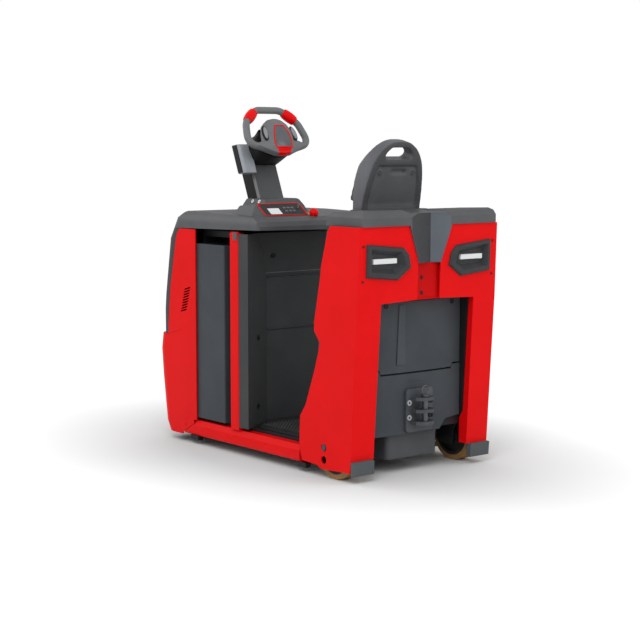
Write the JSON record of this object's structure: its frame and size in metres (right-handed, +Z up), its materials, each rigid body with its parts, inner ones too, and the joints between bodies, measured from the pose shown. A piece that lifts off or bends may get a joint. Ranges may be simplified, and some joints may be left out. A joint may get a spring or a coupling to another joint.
{
  "type": "stand-on electric tow tractor",
  "caption": "Compact stand-on electric tow tractor with a moulded hood, side-loaded battery, tiller wheel, backrest and a stacked tow coupling.",
  "frame": {"origin": "on the floor below the centre of the machine's bounding box", "axes": "+X forward towards the nose, +Y to the operator's left, +Z up"},
  "size_m": [1.53, 0.79, 1.5787],
  "materials": {
    "red_paint": "smooth red enamel on sheet steel",
    "grey_paint": "blue-grey powder coat",
    "black_paint": "black satin paint",
    "dark_moulding": "fine grained dark grey moulding",
    "hood_moulding": "soft grained dark grey moulding",
    "grey_moulding": "grained grey plastic",
    "red_plastic": "glossy red plastic",
    "lamp_white": "white lamp lens",
    "mat_rubber": "ribbed black rubber",
    "cushion_cover": "dark cushion cover",
    "polyurethane": "tan polyurethane tread",
    "hub_iron": "painted cast iron",
    "coupling_iron": "black painted cast steel",
    "bright_steel": "zinc-plated steel"
  },
  "bodies": {
    "machine": {"backrest_cushion": "cushion_cover", "backrest_shell": "hood_moulding", "ballast_block": "black_paint", "battery": "grey_paint", "battery_frame": "red_paint", "battery_rails": "bright_steel", "column_box": "dark_moulding", "console": "dark_moulding", "control_unit": "black_paint", "drive_motor": "black_paint", "floor_frame": "black_paint", "floor_mat": "mat_rubber", "foot_blocks": "grey_moulding", "footwell_wall": "dark_moulding", "front_bumper": "red_paint", "front_fender_left": "red_paint", "front_fender_right": "red_paint", "front_hood": "hood_moulding", "front_subframe": "black_paint", "knee_panel": "dark_moulding", "lamp_bars": "lamp_white", "lamp_bezels": "dark_moulding", "lower_cover": "grey_paint", "motor_cover": "grey_paint", "nose_panel": "hood_moulding", "rear_crossbeam": "red_paint", "rear_frame": "black_paint", "rear_hood": "hood_moulding", "rear_side_left": "red_paint", "rear_side_right": "red_paint", "side_sills": "red_paint", "steering_column": "hood_moulding", "steering_head": "dark_moulding", "stop_button": "red_plastic", "tow_coupling": "coupling_iron"},
    "drive_unit": {"drive_leg": "hub_iron"},
    "drive_wheel": {"drive_hub": "hub_iron", "drive_tyre": "polyurethane"},
    "rear_wheel_left": {"rear_hub_left": "hub_iron", "rear_tyre_left": "polyurethane"},
    "rear_wheel_right": {"rear_hub_right": "hub_iron", "rear_tyre_right": "polyurethane"},
    "hand_wheel": {"steering_wheel": "grey_moulding"},
    "lift_pin": {"coupling_pin": "bright_steel"}
  },
  "joints": [
    {"name": "steer", "type": "hinge", "parent": "machine", "child": "drive_unit", "pos_m": [0.58, 0, 0.3], "axis": [0, 0, 1], "range_deg": [-90, 90]},
    {"name": "drive_wheel_spin", "type": "hinge", "parent": "drive_unit", "child": "drive_wheel", "pos_m": [0.58, 0, 0.125], "axis": [0, 1, 0], "continuous": true},
    {"name": "rear_left_spin", "type": "hinge", "parent": "machine", "child": "rear_wheel_left", "pos_m": [-0.58, 0.3375, 0.115], "axis": [0, 1, 0], "continuous": true},
    {"name": "rear_right_spin", "type": "hinge", "parent": "machine", "child": "rear_wheel_right", "pos_m": [-0.58, -0.3375, 0.115], "axis": [0, 1, 0], "continuous": true},
    {"name": "hand_wheel_turn", "type": "hinge", "parent": "machine", "child": "hand_wheel", "pos_m": [0.33, 0, 1.482], "axis": [-0.866, 0, 0.5], "range_deg": [-60, 60]},
    {"name": "coupling_pin_lift", "type": "slide", "parent": "machine", "child": "lift_pin", "axis": [0, 0, 1], "range_m": [0, 0.145]}
  ]
}
